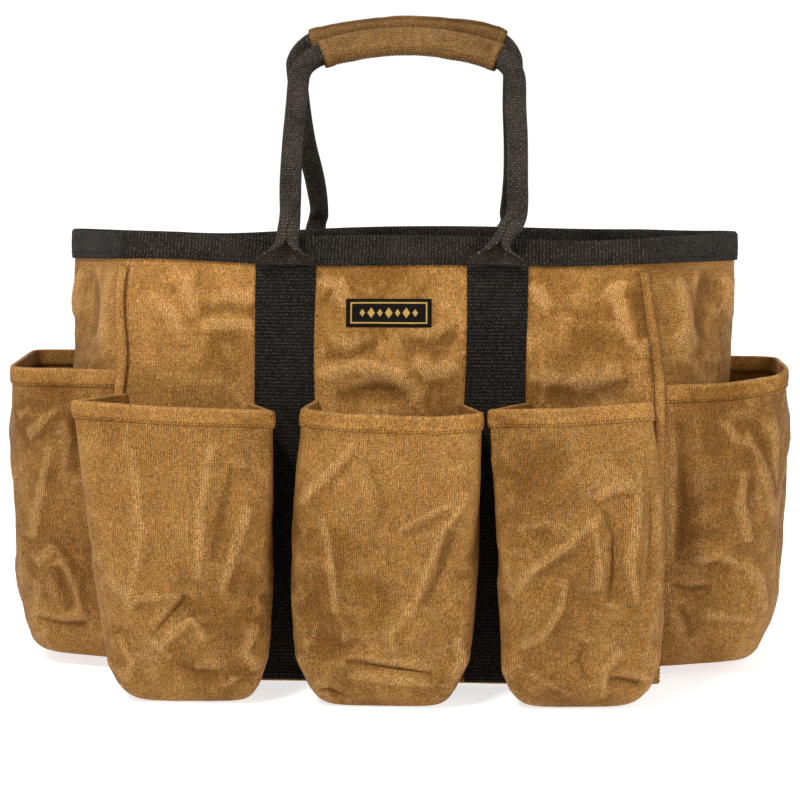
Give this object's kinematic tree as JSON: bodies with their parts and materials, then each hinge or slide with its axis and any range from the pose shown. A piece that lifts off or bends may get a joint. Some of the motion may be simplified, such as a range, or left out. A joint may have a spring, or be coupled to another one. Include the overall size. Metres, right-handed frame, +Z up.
{
  "type": "garden tool bag",
  "caption": "Open-top garden tool bag in waxed canvas with a webbing rim, webbing carry handles that swing, and upright outside pockets all round.",
  "frame": {"origin": "on the ground, under the middle of the base", "axes": "+Z up, -Y towards the front panel with the label, +X to the right seen from the front"},
  "size_m": [0.7, 0.432, 0.5634],
  "materials": {
    "body_canvas": "waxed cotton canvas, golden brown, matt with a faint sheen",
    "pocket_canvas": "waxed cotton canvas, golden brown, creased and blotched",
    "grip_canvas": "waxed cotton canvas sleeve, stitched shut",
    "seam_canvas": "folded waxed canvas seam",
    "webbing": "black cotton webbing, coarse flat weave",
    "label": "black woven label with a thin gold frame, no lettering",
    "board": "dark stiffening board"
  },
  "bodies": {
    "bag": {"front_panel": "body_canvas", "back_panel": "body_canvas", "left_gusset": "body_canvas", "right_gusset": "body_canvas", "base_panel": "body_canvas", "base_board": "board", "base_seam_welt": "seam_canvas", "front_left_welt": "seam_canvas", "front_right_welt": "seam_canvas", "back_left_welt": "seam_canvas", "back_right_welt": "seam_canvas", "rim_binding": "webbing", "front_left_strap": "webbing", "front_right_strap": "webbing", "back_left_strap": "webbing", "back_right_strap": "webbing", "front_left_pocket": "pocket_canvas", "front_middle_pocket": "pocket_canvas", "front_right_pocket": "pocket_canvas", "back_left_pocket": "pocket_canvas", "back_middle_pocket": "pocket_canvas", "back_right_pocket": "pocket_canvas", "left_side_pocket": "pocket_canvas", "right_side_pocket": "pocket_canvas", "woven_label": "label"},
    "front_handle": {"front_handle_webbing": "webbing", "front_handle_grip": "grip_canvas"},
    "back_handle": {"back_handle_webbing": "webbing", "back_handle_grip": "grip_canvas"}
  },
  "joints": [
    {"name": "front_handle_swing", "type": "hinge", "parent": "bag", "child": "front_handle", "pos_m": [0, -0.1179, 0.3789], "axis": [1, 0, 0], "range_deg": [0, 168]},
    {"name": "back_handle_swing", "type": "hinge", "parent": "bag", "child": "back_handle", "pos_m": [0, 0.1179, 0.3789], "axis": [-1, 0, 0], "range_deg": [0, 168]}
  ]
}
